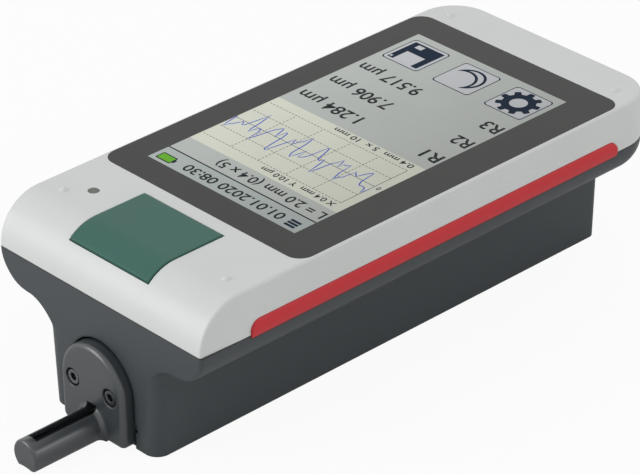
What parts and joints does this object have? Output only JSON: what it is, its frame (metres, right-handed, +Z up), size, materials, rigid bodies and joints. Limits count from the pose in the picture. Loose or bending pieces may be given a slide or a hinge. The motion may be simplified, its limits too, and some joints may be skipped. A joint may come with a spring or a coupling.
{
  "type": "surface roughness tester",
  "caption": "Hand-held surface roughness tester: display unit with a start key over a draw-out drive cassette, whose stylus pickup runs in a slotted guard tube.",
  "frame": {"origin": "middle of the base plane, under the centre of the overall box", "axes": "+Z up, -Y towards the pickup, +X to the right of someone facing the front end's back, so the trim side seen in the picture is +X"},
  "size_m": [0.0776, 0.1878, 0.051],
  "materials": {
    "cover_plastic": "fine satin grain",
    "housing_plastic": "matt grain",
    "trim_red": "satin",
    "dark_glass": "glossy, dark border",
    "display": "glossy",
    "key_green": "satin",
    "light_lens": "satin",
    "black_plastic": "matt",
    "board": "solder mask",
    "battery_wrap": "satin wrap",
    "steel": "brushed",
    "dark_steel": "blackened",
    "cassette": "satin",
    "aluminium": "milled",
    "brass": "turned"
  },
  "bodies": {
    "housing": {"lower_housing": "housing_plastic", "top_cover": "cover_plastic", "trim_right": "trim_red", "trim_left": "trim_red", "display_glass": "dark_glass", "display_panel": "display", "key_switch": "steel", "status_light": "light_lens", "main_board": "board", "board_chips": "black_plastic", "board_screws": "steel", "battery": "battery_wrap", "charge_socket": "steel", "case_screws": "dark_steel", "drive_socket": "black_plastic"},
    "key": {"start_key": "key_green", "switch_plunger": "black_plastic"},
    "drive": {"drive_casing": "cassette", "drive_end_cap": "black_plastic", "contact_pins": "brass", "pickup_guard": "cassette", "guard_screws": "dark_steel", "drive_motor": "steel", "gearbox": "brass", "front_block": "aluminium", "rear_block": "aluminium", "guide_rods": "steel", "drive_board": "board"},
    "screw": {"lead_screw": "steel"},
    "pickup": {"carriage": "brass", "pickup_holder": "black_plastic", "pickup_body": "steel", "skid": "dark_steel", "pivot_pin": "steel"},
    "stylus": {"stylus_arm": "steel", "stylus_tip": "dark_steel"}
  },
  "joints": [
    {"name": "key_press", "type": "slide", "parent": "housing", "child": "key", "axis": [0, 0, -1], "range_m": [0, 0.0006], "stiffness_N_per_m": 3000},
    {"name": "cassette_draw", "type": "slide", "parent": "housing", "child": "drive", "axis": [0, -1, 0], "range_m": [0, 0.132]},
    {"name": "pickup_traverse", "type": "slide", "parent": "drive", "child": "pickup", "axis": [0, 1, 0], "range_m": [0, 0.0175]},
    {"name": "screw_turn", "type": "hinge", "parent": "drive", "child": "screw", "pos_m": [0, 0, 0.0159], "axis": [0, 1, 0], "range_deg": [-2521, 0]},
    {"name": "stylus_swing", "type": "hinge", "parent": "pickup", "child": "stylus", "pos_m": [0, -0.07105, 0.0037], "axis": [1, 0, 0], "range_deg": [-0.5, 0.5], "stiffness_Nm_per_rad": 0.02}
  ],
  "couplings": [
    {"joint": "screw_turn", "follows": "pickup_traverse", "rad_per_m": -2513.3}
  ]
}
